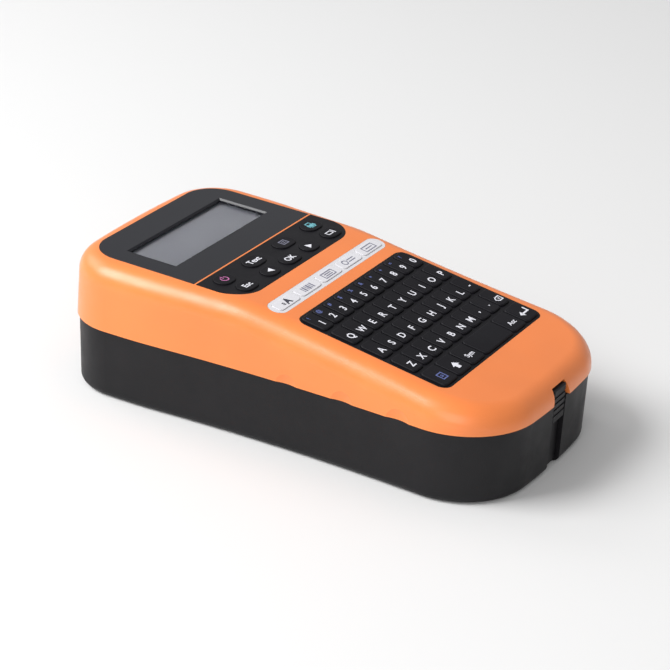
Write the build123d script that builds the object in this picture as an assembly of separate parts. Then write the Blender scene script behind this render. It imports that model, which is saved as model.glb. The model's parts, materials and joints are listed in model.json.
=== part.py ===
from build123d import *
import os
from math import atan2, cos, degrees, floor, hypot, radians, sin, tan

os.makedirs("parts", exist_ok=True)

# Handheld thermal label printer, lying on its back.
# X runs to the user's right, Y from the palm end to the display end, Z up.
# The origin is the middle of the footprint, on the surface that it rests on. Millimetres.

# --- Case ------------------------------------------------------------------------------
case_length = 207.0
case_width = 109.0
waist_inset = 3.0          # how far each long side is drawn in at the grip
waist_y = -17.0
shoulder_y = 60.0          # where the straight side at the display end meets the waist curve
palm_flare = 0.8           # extra half width where the side line would meet the palm end
display_bulge = 2.8        # how far the display end bows out
palm_bulge = 4.5
display_corner = 25.0
palm_corner = 32.0
shoulder_radius = 240.0
parting_z = 30.5           # seam between front cover and rear case
bend_y = 17.0              # ridge between the display face and the keyboard face
bend_z = 57.5
bend_radius = 100.0
display_slope = 1.1        # degrees, the display face rises towards the display end
keyboard_slope = 8.8       # degrees, the keyboard face falls towards the palm end
side_draft = 1.1           # how far the front cover's sides lean in over its height
draft_height = 62.5 - parting_z    # reaches just above the display end
top_edge_radius = 9.5
side_wall = 2.2
top_wall = 2.6
rear_step = 0.8            # the rear case stands this far inside the front cover
rear_draft = 0.7
rear_edge_radius = 3.0

# --- Panels on the top face ------------------------------------------------------------
panel_thickness = 1.6
panel_gap = 0.1
function_ledge = 1.0         # width of the seat that carries each panel
strip_ledge = 0.6
keyboard_ledge = 0.65
dark_half_width = 44.2     # display panel and function panel
display_panel_top = 93.8
separator_y = 40.3
separator_width = 0.9
display_panel_corner = 14.0
function_bottom = 16.9
function_corner = 13.0
strip_y = 4.6
strip_length = 85.4
strip_height = 8.6
keyboard_margin = 1.15      # panel beyond the outer edge of the key grid
keyboard_top = -5.4
keyboard_bottom = -73.6
keyboard_corner = 4.5
window_half_width = 34.0
window_y = 67.9
window_height = 22.8
window_rim = 0.7
window_glass = 1.0
lcd_margin = 3.0
lcd_gap = 0.1

# --- Keys ------------------------------------------------------------------------------
key_clearance = 0.15       # on each side of a key in its hole
key_rise, key_edge = 0.9, 0.7              # height over the face, and rounding of the head
function_key_rise, function_key_edge = 0.55, 0.4
label_key_rise, label_key_edge = 0.35, 0.25
flange_gap = 0.35
flange_thickness = 0.5
flange_lip = 0.25
flange_corner = 2.6
stem_depth = 3.5           # foot of a key's stem below the top face
stem_radius = 1.4
column_pitch = 8.15
key_space = 0.9             # between the heads of neighbouring keys
key_width = column_pitch - key_space
row_pitch = 13.5
first_row_y = -12.5
key_height = 11.8
key_corner = 1.6
key_columns = 10
keyboard_end = key_columns / 2 * column_pitch
keyboard_half_width = keyboard_end + keyboard_margin
wide_key = 1.4 * column_pitch
bottom_row_edges = (-keyboard_end, wide_key - keyboard_end, 2 * wide_key - keyboard_end,
                    3 * wide_key - keyboard_end, keyboard_end - 2 * wide_key, keyboard_end - wide_key,
                    keyboard_end)
space_key_index = 3
label_key_pitch = 16.4
label_key_width = 14.9
label_key_height = 5.5
function_row_a = 33.2
function_row_b = 23.0

# --- Boards ----------------------------------------------------------------------------
mat_depth = 4.9
mat_thickness = 0.6
mat_gap = 0.05              # between the mat and the boards under it
board_thickness = 1.6
board_half_width = 41.3
board_split_y = 13.5
board_bottom = -76.0
board_top = 95.0
board_gap = 1.0

# --- Rear case, its bays and the cover over them ---------------------------------------
cover_gap = 0.3            # cover face above the resting rim, and its side clearance
cover_thickness = 1.7
cover_inset = 6.5
rim_ledge = 4.0            # top of the ledge that the cover closes against
bay_wall = 1.6
cell_radius = 5.25
cell_length = 44.5
cell_space = 0.7
cell_pitch = 2 * cell_radius + cell_space
cell_count = 6
cell_y = -55.5
cell_clearance = 0.4
bay_side = 0.8              # more room beside the outer cells
contact_space = 2.6
cell_span = (cell_count - 1) * cell_pitch + 2 * cell_radius
bay_x = cell_span / 2 + cell_clearance + bay_side
cassette_floor_z = 22.5    # roof of the cassette bay
cassette_left, cassette_right = -17.0, 35.0
cassette_bottom, cassette_top = 6.0, 86.0
cassette_z0, cassette_z1 = 3.4, 20.6
cassette_wall = 1.4
cassette_clearance = 1.5
works_right = case_width / 2 - 3.9     # side of the space for roller, lever and cutter
works_bottom = 33.0
works_top = case_length / 2 - 6.5

# --- Tape path, roller, gears ----------------------------------------------------------
tape_x = 35.92             # middle of the tape's thickness
tape_thickness = 0.16
tape_width = 12.0
tape_z0 = 6.0
platen_x, platen_y = 40.6, 62.0
platen_radius = 4.5
platen_shaft_radius = 1.5
running_fit = 0.05
module = 0.6
pinion_teeth, reduction_teeth, reduction_pinion_teeth = 12, 44, 12
idler_teeth, platen_teeth, ribbon_teeth = 40, 24, 36
lower_gears = (24.7, 26.4)
upper_gears = (26.8, 28.5)
plate_z0, plate_thickness = 29.2, 1.2
motor_radius, motor_height = 9.0, 16.0
holder_pivot = (46.4, 38.0)
holder_pin_radius = 1.5

# --- Cutter ----------------------------------------------------------------------------
cutter_y = case_length / 2 - 14.5
lever_pivot = (case_width / 2 - 6.4, cutter_y - 16.0)
lever_z0, lever_z1 = 6.0, 20.0
lever_bore_radius = 1.3
blade_thickness = 0.5
blade_tip_x = 37.2
blade_holder_x0, blade_holder_x1 = 39.6, lever_pivot[0] - 1.2
blade_holder_half = 1.7

# --- Screws ----------------------------------------------------------------------------
boss_radius = 3.0
palm_screw_x = bay_x + boss_radius + 1.05    # beside the battery bay
screw_places = [(-palm_screw_x, -82.0), (palm_screw_x, -82.0), (-43.2, -2.0), (43.2, -2.0), (-40.0, 86.0),
                (44.4, 24.5)]
screw_radius = 1.3
screw_head_radius = 2.3
screw_head_height = 1.6
screw_sink = 0.6            # head below the mouth of its hole
post_places = [(-15.0, 44.0), (-15.0, 76.0), (24.0, 76.0), (44.5, 46.5)]

post_radius, post_screw_radius = 2.6, 0.8

tall = 90.0                # reach of cutting tools


def z_on_top(y, depth=0.0):
    """Height of the flat display or keyboard face over a point of the plan."""
    slope = radians(display_slope if y >= bend_y else keyboard_slope)
    return bend_z + (y - bend_y) * tan(slope) - depth / cos(slope)


def face_plane(y, slope, x=0.0):
    """Plane lying on the display or keyboard face, normal outwards."""
    z = bend_z + (y - bend_y) * tan(radians(slope))
    normal = (0, -sin(radians(slope)), cos(radians(slope)))
    return Plane(origin=(x, y, z), x_dir=(1, 0, 0), z_dir=normal)


def plan_outline(inset=0.0):
    """Plan view of the case, everywhere `inset` inside its widest outline."""
    side = case_width / 2 - inset
    palm = side + palm_flare
    end = case_length / 2 - inset
    display_y, palm_y = end - display_bulge, palm_bulge - end
    edges = [
        ThreePointArc((-side, display_y), (0, end), (side, display_y)),
        Line((side, display_y), (side, shoulder_y)),
        ThreePointArc((side, shoulder_y), (side - waist_inset, waist_y), (palm, palm_y)),
        ThreePointArc((palm, palm_y), (0, -end), (-palm, palm_y)),
        ThreePointArc((-palm, palm_y), (waist_inset - side, waist_y), (-side, shoulder_y)),
        Line((-side, shoulder_y), (-side, display_y)),
    ]
    outline = make_face(edges)
    for level, radius in ((palm_y, palm_corner - inset), (shoulder_y, shoulder_radius),
                          (display_y, display_corner - inset)):
        corners = [v for v in outline.vertices() if abs(v.Y - level) < 0.01]
        outline = fillet(corners, radius)
    return outline


def below_top(depth):
    """Everything under the top face, pushed in by `depth`."""
    middle = radians((display_slope + keyboard_slope) / 2)
    shift = depth / cos(radians((keyboard_slope - display_slope) / 2))
    y, z = bend_y + shift * sin(middle), bend_z - shift * cos(middle)
    points = [
        (y - case_length, z - case_length * tan(radians(keyboard_slope))),
        (y, z),
        (y + case_length, z + case_length * tan(radians(display_slope))),
        (y + case_length, -tall),
        (y - case_length, -tall),
    ]
    profile = make_face(Polyline(*points, close=True))
    ridge = [v for v in profile.vertices() if abs(v.X - y) < 0.01]
    profile = fillet(ridge, bend_radius - depth)
    return extrude(Plane.YZ * profile, case_width, both=True)


def top_layer(outline, depth, thickness):
    """A plate of the given plan outline that follows the top face at a depth."""
    column = extrude(outline, tall)
    return (column & below_top(depth)) - below_top(depth + thickness)


def lean_block(inset_low, z_low, inset_high, z_high):
    return loft([Pos(0, 0, z_low) * plan_outline(inset_low),
                 Pos(0, 0, z_high) * plan_outline(inset_high)], ruled=True)


def front_body(wall, roof, edge_radius):
    """The front cover's outside, or its hollow when wall and roof are given."""
    top = parting_z + draft_height
    body = lean_block(wall, parting_z, wall + side_draft, top) & below_top(roof)
    rim = [e for e in body.edges()
           if e.center().Z > parting_z + 3 and abs((e % 0.5).Z) < 0.5
           and not (abs((e % 0.5).X) > 0.99 and abs(e.center().Y - bend_y) < bend_radius / 3)]
    return fillet(rim, edge_radius)


def block(x0, x1, y0, y1, z0, z1):
    return Pos((x0 + x1) / 2, (y0 + y1) / 2, (z0 + z1) / 2) * Box(x1 - x0, y1 - y0, z1 - z0)


def rod(x, y, radius, z0, z1):
    return Pos(x, y, (z0 + z1) / 2) * Cylinder(radius, z1 - z0)


def prism(points, z0, z1):
    return Pos(0, 0, z0) * extrude(make_face(Polyline(*points, close=True)), z1 - z0)


def rounded_plan(x0, x1, y0, y1, radius):
    return Pos((x0 + x1) / 2, (y0 + y1) / 2) * RectangleRounded(x1 - x0, y1 - y0, radius)


def save(part, name):
    part.label = name
    export_step(part, f"parts/{name}.step")


# ---------------------------------------------------------------------------------------
# Outlines of the panels, grown or shrunk by a margin
# ---------------------------------------------------------------------------------------
def display_outline(grow=0.0):
    low, high = separator_y + separator_width / 2 - grow, display_panel_top + grow
    half = dark_half_width + grow
    outline = Pos(0, (low + high) / 2) * Rectangle(2 * half, high - low)
    corners = [v for v in outline.vertices() if v.Y > window_y]
    return fillet(corners, display_panel_corner + grow)


def function_outline(grow=0.0):
    low, high = function_bottom - grow, separator_y - separator_width / 2 + grow
    half = dark_half_width + grow
    outline = Pos(0, (low + high) / 2) * Rectangle(2 * half, high - low)
    corners = [v for v in outline.vertices() if v.Y < (low + high) / 2]
    return fillet(corners, function_corner + grow)


def strip_outline(grow=0.0):
    length, height = strip_length + 2 * grow, strip_height + 2 * grow
    return Pos(0, strip_y) * SlotOverall(length, height)


def keyboard_outline(grow=0.0):
    half = keyboard_half_width + grow
    return rounded_plan(-half, half, keyboard_bottom - grow, keyboard_top + grow, keyboard_corner + grow)


# ---------------------------------------------------------------------------------------
# Keys: name, x, y, width, height on the face, corner radius
# ---------------------------------------------------------------------------------------
function_keys = [
    ("key_power", -33.5, function_row_a, 10.0, 8.0, 3.9),
    ("key_text", -11.5, function_row_a, 12.0, 8.0, 3.9),
    ("key_file", 11.5, function_row_a, 12.0, 8.0, 3.9),
    ("key_print", 33.5, function_row_a, 11.0, 8.0, 3.9),
    ("key_escape", -32.5, function_row_b, 10.5, 7.4, 3.6),
    ("key_left", -15.3, function_row_b, 9.5, 7.4, 3.6),
    ("key_ok", 0.0, function_row_b, 11.5, 7.4, 3.6),
    ("key_right", 15.3, function_row_b, 9.5, 7.4, 3.6),
    ("key_feed", 32.5, function_row_b, 10.5, 7.4, 3.6),
]


def key_piece(plane, width, height, corner, rise=key_rise, edge=key_edge):
    """One key: domed head, retaining flange under the panel, and a stem."""
    under = panel_thickness + flange_gap
    foot = under + flange_thickness
    head = extrude(plane.offset(-foot) * RectangleRounded(width, height, corner), foot + rise)
    top = head.faces().sort_by(lambda f: (f.center() - plane.origin).dot(plane.z_dir))[-1]
    head = fillet(top.edges(), edge)
    lip = RectangleRounded(width + 2 * flange_lip, height + 2 * flange_lip,
                           max(corner + flange_lip, flange_corner))
    flange = extrude(plane.offset(-foot) * lip, flange_thickness)
    stem = extrude(plane.offset(-stem_depth) * Circle(stem_radius), stem_depth - foot)
    return head + flange + stem


def key_hole(plane, width, height, corner):
    """Through hole in a panel for a key of this size."""
    grow = 2 * key_clearance
    shape = RectangleRounded(width + grow, height + grow, corner + key_clearance)
    return extrude(plane.offset(-panel_thickness * 3) * shape, panel_thickness * 6)


def keyboard_cells(row):
    """Centre and width of each key in a row of the keyboard."""
    if row < 4:
        middle = (key_columns - 1) / 2
        return [((i - middle) * column_pitch, key_width) for i in range(key_columns)]
    cells = []
    for left, right in zip(bottom_row_edges, bottom_row_edges[1:]):
        cells.append(((left + right) / 2, right - left - key_space))
    return cells


def keyboard_plane(row, x):
    return face_plane(first_row_y - row * row_pitch, keyboard_slope, x)


function_panel = top_layer(function_outline(), 0, panel_thickness)
for name, x, y, width, height, corner in function_keys:
    plane = face_plane(y, display_slope, x)
    function_panel -= key_hole(plane, width, height, corner)
    save(key_piece(plane, width, height, corner, function_key_rise, function_key_edge), name)
save(function_panel, "function_panel")

strip_panel = top_layer(strip_outline(), 0, panel_thickness)
for index in range(5):
    plane = face_plane(strip_y, keyboard_slope, (index - 2) * label_key_pitch)
    strip_panel -= key_hole(plane, label_key_width, label_key_height, key_corner)
    key = key_piece(plane, label_key_width, label_key_height, key_corner, label_key_rise, label_key_edge)
    save(key, f"label_type_key_{index + 1}")
save(strip_panel, "label_type_panel")

keyboard_panel = top_layer(keyboard_outline(), 0, panel_thickness)
foot = panel_thickness + flange_gap + flange_thickness
for row in range(5):
    keys = []
    for x, width in keyboard_cells(row):
        plane = keyboard_plane(row, x)
        keyboard_panel -= key_hole(plane, width, key_height, key_corner)
        keys.append(key_piece(plane, width, key_height, key_corner))
    if row < 4:
        web_length = (key_columns - 1) * column_pitch + key_width
        web = RectangleRounded(web_length, key_height + 2 * flange_lip, flange_corner)
        strip = extrude(keyboard_plane(row, 0).offset(-foot) * web, flange_thickness)
        for key in keys:
            strip += key
        save(strip, f"key_row_{row + 1}")
    else:
        save(keys.pop(space_key_index), "space_key")
        save(Compound(children=[Part() + key for key in keys]), "key_row_5")
save(keyboard_panel, "keyboard_panel")

# ---------------------------------------------------------------------------------------
# Display: dark panel with a bevelled window, glass and the LCD module behind it
# ---------------------------------------------------------------------------------------
window_plane = face_plane(window_y, display_slope)
display_panel = top_layer(display_outline(), 0, panel_thickness)
view_area = Rectangle(2 * window_half_width, window_height)
opening = extrude(window_plane.offset(-mat_depth) * view_area, 2 * mat_depth)
rim = loft([window_plane.offset(-window_rim) * view_area,
            window_plane.offset(window_rim) * Rectangle(2 * (window_half_width + 2 * window_rim),
                                                        window_height + 4 * window_rim)])
save(display_panel - opening - rim, "display_panel")

glass_size = (2 * window_half_width + lcd_margin, window_height + lcd_margin)
glass = extrude(window_plane.offset(-panel_thickness - window_glass) * Rectangle(*glass_size), window_glass)
save(glass, "display_window")

lcd_depth = panel_thickness + window_glass + lcd_gap
board_depth = mat_depth + mat_thickness + mat_gap
lcd_size = (2 * (window_half_width + lcd_margin), window_height + 2 * lcd_margin)
lcd = extrude(window_plane.offset(-board_depth) * Rectangle(*lcd_size), board_depth - lcd_depth)
save(lcd, "lcd_module")

# ---------------------------------------------------------------------------------------
# Front cover
# ---------------------------------------------------------------------------------------
hollow = front_body(side_wall, top_wall, top_edge_radius - side_wall)
front_cover = front_body(0, 0, top_edge_radius) - hollow
for outline in (display_outline(panel_gap), function_outline(panel_gap),
                strip_outline(panel_gap), keyboard_outline(panel_gap)):
    front_cover -= extrude(outline, tall) - below_top(panel_thickness)
flange_drift = foot * sin(radians(keyboard_slope))   # the face leans, so deep flanges lie further up
lcd_hole = (2 * (window_half_width + lcd_margin) + 1, window_height + 2 * lcd_margin + 1)
through = [
    Pos(0, window_y) * Rectangle(*lcd_hole),
    function_outline(-function_ledge),
    strip_outline(-strip_ledge),
    Pos(0, flange_drift) * keyboard_outline(-keyboard_ledge),
]
for outline in through:
    front_cover -= Pos(0, 0, parting_z) * extrude(outline, tall)

inside = front_body(side_wall - 0.2, top_wall - 0.2, top_edge_radius - side_wall)
for x, y in screw_places:
    boss = rod(x, y, boss_radius, parting_z, z_on_top(y)) & inside
    front_cover += boss
    front_cover -= rod(x, y, screw_radius, parting_z - 1, z_on_top(y) - 2 * top_wall)

# Thumb notch in the palm end, wide at the seam and narrowing upwards
notch_half_low, notch_half_high, notch_height = 7.4, 5.4, 6.5
notch = make_face(Polyline((-notch_half_low, -1), (notch_half_low, -1), (notch_half_high, notch_height),
                           (-notch_half_high, notch_height), close=True))
notch_plane = Plane(origin=(0, -case_length / 2 - 5, parting_z), x_dir=(1, 0, 0), z_dir=(0, -1, 0))
front_cover -= extrude(notch_plane * notch, -12)

# Three shallow finger dimples low on each side, cut off by the seam
dimple_depth, dimple_radius = 0.7, 16.0
for y in (-8.0, -33.0, -58.0):
    side = case_width / 2 - waist_inset * (1 - ((y - waist_y) / (waist_y - shoulder_y)) ** 2)
    for sign in (-1, 1):
        x = sign * (side + dimple_radius - dimple_depth)
        front_cover -= Pos(x, y, parting_z) * Sphere(dimple_radius)
save(front_cover, "front_cover")

# ---------------------------------------------------------------------------------------
# Rear case with the battery bay, the cassette bay and the works space
# ---------------------------------------------------------------------------------------
bay_y0 = cell_y - cell_length / 2 - contact_space
bay_y1 = cell_y + cell_length / 2 + contact_space
cell_z = cover_gap + cover_thickness + cell_clearance + cell_radius
bay_roof = cell_z + cell_radius + cell_clearance

rear_low = rear_step + rear_draft
rear_case = lean_block(rear_low, 0, rear_step, parting_z)
rear_case = fillet(rear_case.faces().sort_by(Axis.Z)[0].edges(), rear_edge_radius)
inner_low, inner_high = rear_low + side_wall, rear_step + side_wall
hollow = loft([Pos(0, 0, rim_ledge) * plan_outline(inner_low),
               Pos(0, 0, parting_z + 1) * plan_outline(inner_high)], ruled=True)
rear_case -= hollow

cassette_x0 = cassette_left - cassette_clearance
cassette_x1 = cassette_right + cassette_clearance
cassette_y0 = cassette_bottom - cassette_clearance
blocks = block(-bay_x - bay_wall, bay_x + bay_wall, bay_y0 - bay_wall, bay_y1 + bay_wall,
               cover_gap + cover_thickness, bay_roof + bay_wall)
blocks += block(cassette_x0 - bay_wall, cassette_x1 + bay_wall, cassette_y0 - bay_wall, case_length / 2,
                cover_gap + cover_thickness, cassette_floor_z + bay_wall)
blocks += block(cassette_x1, case_width / 2, works_bottom - bay_wall, case_length / 2,
                cover_gap + cover_thickness, cassette_floor_z + bay_wall)
outer_limit = lean_block(rear_low + 0.5, 0, rear_step + 0.5, parting_z)
rear_case += blocks & outer_limit

rear_case -= block(-bay_x, bay_x, bay_y0, bay_y1, -1, bay_roof)
under_cover = Pos(0, 0, -1) * extrude(plan_outline(cover_inset + 2 * cover_gap), rim_ledge + 2)
for x0, x1, y0 in ((cassette_x0, cassette_x1, cassette_y0), (cassette_x1 - 1, works_right, works_bottom)):
    rear_case -= block(x0, x1, y0, works_top, -1, rim_ledge + 1) & under_cover
    rear_case -= block(x0, x1, y0, works_top, rim_ledge, cassette_floor_z) & hollow

# Recess for the compartment cover, and the channel for its latch
cover_recess_top = cover_gap + cover_thickness + cover_gap
rear_case -= Pos(0, 0, -1) * extrude(plan_outline(cover_inset - cover_gap), 1 + cover_recess_top)
palm_y = -case_length / 2
latch_half, latch_y0, latch_y1 = 5.0, palm_y + 3.3, palm_y + 4.9
latch_travel = 1.5
channel_half, channel_y = latch_half + 0.4, latch_y1 + latch_travel + 0.5
channel_wall = block(-channel_half - bay_wall, channel_half + bay_wall, -case_length / 2,
                     channel_y + bay_wall, cover_recess_top, parting_z) & outer_limit
rear_case += channel_wall
rear_case -= block(-channel_half, channel_half, -case_length / 2 - 1, channel_y, -1, parting_z + 1)

# Bosses for the case screws
for x, y in screw_places:
    rear_case += rod(x, y, boss_radius, cover_recess_top, parting_z) & outer_limit
    rear_case -= rod(x, y, screw_radius + 0.15, cover_recess_top - 1, parting_z + 1)
    rear_case -= rod(x, y, screw_head_radius + 0.2, cover_recess_top - 1,
                     cover_recess_top + screw_sink + screw_head_height)

# Opening for the cutter lever, tape exit slot, DC inlet hole
lever_gap = 0.3
lever_opening = (cutter_y - 13.7, cutter_y + 5.2)
rear_case -= block(works_right - 7.1, case_width, *lever_opening, lever_z0 - lever_gap, lever_z1 + lever_gap)
slot_half = 1.1
rear_case -= block(tape_x - slot_half, tape_x + slot_half, works_top - 2, case_length,
                   tape_z0 - 1, tape_z0 + tape_width + 1)
inlet_x, inlet_z, inlet_radius = -28.0, 16.5, 4.0
inlet_plane = Plane(origin=(inlet_x, case_length / 2, inlet_z), x_dir=(1, 0, 0), z_dir=(0, -1, 0))
rear_case -= extrude(inlet_plane * Circle(inlet_radius + panel_gap), 12)

# Clearance for the platen shaft's swing, take-up spindle, posts and roller pivot
holder_swing = 5.0
arm = hypot(platen_x - holder_pivot[0], platen_y - holder_pivot[1])
arm_angle = degrees(atan2(platen_y - holder_pivot[1], platen_x - holder_pivot[0]))
roof_z0, roof_z1 = cassette_floor_z - 1, cassette_floor_z + bay_wall + 1
for step in range(4):
    angle = radians(arm_angle - holder_swing * step / 3)
    x, y = holder_pivot[0] + arm * cos(angle), holder_pivot[1] + arm * sin(angle)
    rear_case -= rod(x, y, platen_shaft_radius + 0.6, roof_z0, roof_z1)


def polar(start, distance, angle):
    return start[0] + distance * cos(radians(angle)), start[1] + distance * sin(radians(angle))


def pitch_radius(teeth):
    return module * teeth / 2


platen_at = (platen_x, platen_y)
idler_angle, ribbon_angle, reduction_angle, motor_angle = 212.0, -88.0, 164.0, 162.0
idler_at = polar(platen_at, pitch_radius(platen_teeth + idler_teeth), idler_angle)
ribbon_at = polar(idler_at, pitch_radius(idler_teeth + ribbon_teeth), ribbon_angle)
reduction_at = polar(idler_at, pitch_radius(idler_teeth + reduction_pinion_teeth), reduction_angle)
motor_at = polar(reduction_at, pitch_radius(reduction_teeth + pinion_teeth), motor_angle)

spindle_radius = 2.2
rear_case -= rod(*ribbon_at, spindle_radius + running_fit, roof_z0, roof_z1)
for x, y in post_places:
    rear_case += rod(x, y, post_radius, cassette_floor_z + 0.5, plate_z0)
    rear_case -= rod(x, y, post_screw_radius + running_fit, cassette_floor_z + bay_wall, plate_z0 + 1)
rear_case += rod(*holder_pivot, holder_pin_radius, rim_ledge - 0.5, cassette_floor_z + 0.5)

# Anvil ribs on both sides of the blade's path
anvil_x0, anvil_x1 = 31.0, 35.2
anvil_gap, anvil_width = 1.2, 1.5
for y in (cutter_y - anvil_gap / 2 - anvil_width, cutter_y + anvil_gap / 2):
    rear_case += block(anvil_x0, anvil_x1, y, y + anvil_width, rim_ledge, cassette_floor_z + 0.5)
save(rear_case, "rear_case")

# ---------------------------------------------------------------------------------------
# Compartment cover and its latch
# ---------------------------------------------------------------------------------------
cover_z1 = cover_gap + cover_thickness
cover = Pos(0, 0, cover_gap) * extrude(plan_outline(cover_inset), cover_thickness)
cover += block(-latch_half, latch_half, latch_y0 + 0.8, latch_y0 + 8, cover_gap, cover_z1)
for y in range(6):
    ridge_y = palm_y + 12.5 + 2.4 * y
    cover -= block(-14, 14, ridge_y, ridge_y + 1.2, cover_gap - 1, cover_gap + 0.5)
rib = 1.0
for sign in (-1, 1):
    x = sign * (bay_x - 0.3 - rib / 2)
    cover += block(x - rib / 2, x + rib / 2, bay_y0 + 10, bay_y1 - 10, cover_z1 - 0.1, cover_z1 + 1.4)
cover += block(-12, 30, cassette_y0 + 0.3, cassette_y0 + 0.3 + rib, cover_z1 - 0.1, cover_z1 + 3.0)
save(cover, "compartment_cover")

latch_top = parting_z + notch_height - 1.0
pad_z = parting_z - 9.0
latch = block(-latch_half, latch_half, latch_y0, latch_y1, cover_z1, latch_top)
pad_front = palm_y + 1.0
latch += block(-latch_half, latch_half, pad_front, latch_y1, pad_z, latch_top)
latch = fillet([e for e in latch.edges() if e.center().Y < pad_front + 0.1 and abs((e % 0.5).Y) < 0.1], 0.6)
for index in range(4):
    z = pad_z + 3.0 + index * 2.6
    latch -= block(-latch_half, latch_half, palm_y, pad_front + 0.4, z, z + 1.2)
save(latch, "cover_latch")

# ---------------------------------------------------------------------------------------
# Contact mat and the two circuit boards under the keys
# ---------------------------------------------------------------------------------------
def clear_of_bosses(part):
    for x, y in screw_places:
        part -= rod(x, y, boss_radius + 0.5, 0, tall)
    return part


mat_plan = rounded_plan(-board_half_width + 0.3, board_half_width - 0.3, board_bottom + 1, 38.5, 2)
save(clear_of_bosses(top_layer(mat_plan, mat_depth, mat_thickness)), "contact_mat")
lower_plan = rounded_plan(-board_half_width, board_half_width, board_bottom, board_split_y - board_gap / 2, 1)
upper_plan = rounded_plan(-board_half_width, board_half_width, board_split_y + board_gap / 2, board_top, 1)
save(clear_of_bosses(top_layer(lower_plan, board_depth, board_thickness)), "keyboard_board")
main_board = clear_of_bosses(top_layer(upper_plan, board_depth, board_thickness))
under = board_depth + board_thickness
components = [              # x, y, length, width, height: processor, memory, coil, capacitor, connector
    (-24, 30, 14, 14, 1.6), (2, 32, 10, 16, 1.8), (22, 28, 8, 6, 2.4), (28, 44, 6, 6, 4.0),
    (-30, 82, 12, 8, 3.0)]
for x, y, length, width, height in components:
    chip = face_plane(y, display_slope, x).offset(-under - height) * Rectangle(length, width)
    main_board += extrude(chip, height)
save(main_board, "main_board")

# ---------------------------------------------------------------------------------------
# Batteries and their contacts
# ---------------------------------------------------------------------------------------
cells, contacts = [], []
for index in range(cell_count):
    x = (index - (cell_count - 1) / 2) * cell_pitch
    sign = 1 if index % 2 else -1
    along = Plane(origin=(x, cell_y, cell_z), x_dir=(1, 0, 0), z_dir=(0, sign, 0))
    cell = extrude(along.offset(-cell_length / 2) * Circle(cell_radius), cell_length - 1.0)
    cell = fillet(cell.edges(), 0.4)
    cell += extrude(along.offset(cell_length / 2 - 1.2) * Circle(1.9), 1.2)
    cells.append(Part() + cell)
plate_half, plate_thick, leaf_reach = 4.4, 0.4, 4.0
contact_z0 = cell_z - leaf_reach
for index in range(cell_count):
    x = (index - (cell_count - 1) / 2) * cell_pitch
    for end in (-1, 1):
        wall_y = bay_y1 if end > 0 else bay_y0
        leaf = block(x - plate_half, x + plate_half, wall_y - plate_thick, wall_y, contact_z0, cell_z + leaf_reach)
        if end < 0:
            leaf = Pos(0, plate_thick, 0) * leaf
        leaf_y = wall_y - end * plate_thick
        bump_plane = Plane(origin=(x, leaf_y, cell_z), x_dir=(1, 0, 0), z_dir=(0, -end, 0))
        bump = extrude(bump_plane * Circle(2.4), contact_space - plate_thick - 0.1, taper=12)
        contacts.append(Part() + leaf + bump)
save(Compound(children=cells), "batteries")
save(Compound(children=contacts), "battery_contacts")

# ---------------------------------------------------------------------------------------
# DC inlet
# ---------------------------------------------------------------------------------------
inlet_face_y = case_length / 2 - 2.9
inlet_body_y = inlet_face_y - 2.2
inlet = extrude(Plane(origin=(inlet_x, inlet_face_y, inlet_z), x_dir=(1, 0, 0), z_dir=(0, -1, 0))
                * Circle(inlet_radius), 2.4)
inlet_body_half, inlet_body_length = 4.8, 11.9
inlet += block(inlet_x - inlet_body_half, inlet_x + inlet_body_half, inlet_body_y - inlet_body_length,
               inlet_body_y, inlet_z - 5.4, inlet_z + 5.0)
bore = Plane(origin=(inlet_x, inlet_face_y + 0.1, inlet_z), x_dir=(1, 0, 0), z_dir=(0, -1, 0))
bore_radius, bore_depth, pin_radius, pin_sink = 2.8, 10.0, 0.85, 0.9
inlet -= extrude(bore * Circle(bore_radius), bore_depth)
inlet += extrude(bore.offset(pin_sink) * Circle(pin_radius), bore_depth)
save(inlet, "dc_inlet")

# ---------------------------------------------------------------------------------------
# Gears: straight-flanked teeth, phased so that each pair is in mesh at rest
# ---------------------------------------------------------------------------------------
def toothed_wheel(centre, teeth, phase, z0, z1):
    pitch = 360.0 / teeth
    r = pitch_radius(teeth)
    tip, root = r + 0.80 * module, r - 1.15 * module
    points = []
    for i in range(teeth):
        for radius, share in ((root, -0.30), (tip, -0.10), (tip, 0.10), (root, 0.30)):
            points.append(polar(centre, radius, phase + (i + share) * pitch))
    return prism(points, z0, z1)


def meshing_phase(phase, teeth, direction, next_teeth):
    """Phase of the next wheel so that its gap faces this wheel's tooth."""
    turns = (direction - phase) * teeth / 360.0
    offset = turns - floor(turns)
    return direction + 180.0 - (0.5 - offset) * 360.0 / next_teeth


platen_phase = 0.0
idler_phase = meshing_phase(platen_phase, platen_teeth, idler_angle, idler_teeth)
ribbon_phase = meshing_phase(idler_phase, idler_teeth, ribbon_angle, ribbon_teeth)
small_phase = meshing_phase(idler_phase, idler_teeth, reduction_angle, reduction_pinion_teeth)
pinion_phase = meshing_phase(0.0, reduction_teeth, motor_angle, pinion_teeth)

gear_pin_radius = 1.0
gear_bore = gear_pin_radius + running_fit
idler_gear = toothed_wheel(idler_at, idler_teeth, idler_phase, *lower_gears)
save(idler_gear - rod(*idler_at, gear_bore, 20, 30), "idler_gear")

reduction_gear = toothed_wheel(reduction_at, reduction_pinion_teeth, small_phase,
                               lower_gears[0], upper_gears[0])
reduction_gear += toothed_wheel(reduction_at, reduction_teeth, 0.0, *upper_gears)
save(reduction_gear - rod(*reduction_at, gear_bore, 20, 30), "reduction_gear")

motor_shaft_radius, motor_z0 = 0.8, plate_z0 + plate_thickness
pinion = toothed_wheel(motor_at, pinion_teeth, pinion_phase, *upper_gears)
save(pinion + rod(*motor_at, motor_shaft_radius, upper_gears[0], motor_z0 + 3), "motor_pinion")

platen_gear = toothed_wheel(platen_at, platen_teeth, platen_phase, *lower_gears)
save(platen_gear - rod(*platen_at, platen_shaft_radius, 20, 30), "platen_gear")

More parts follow.
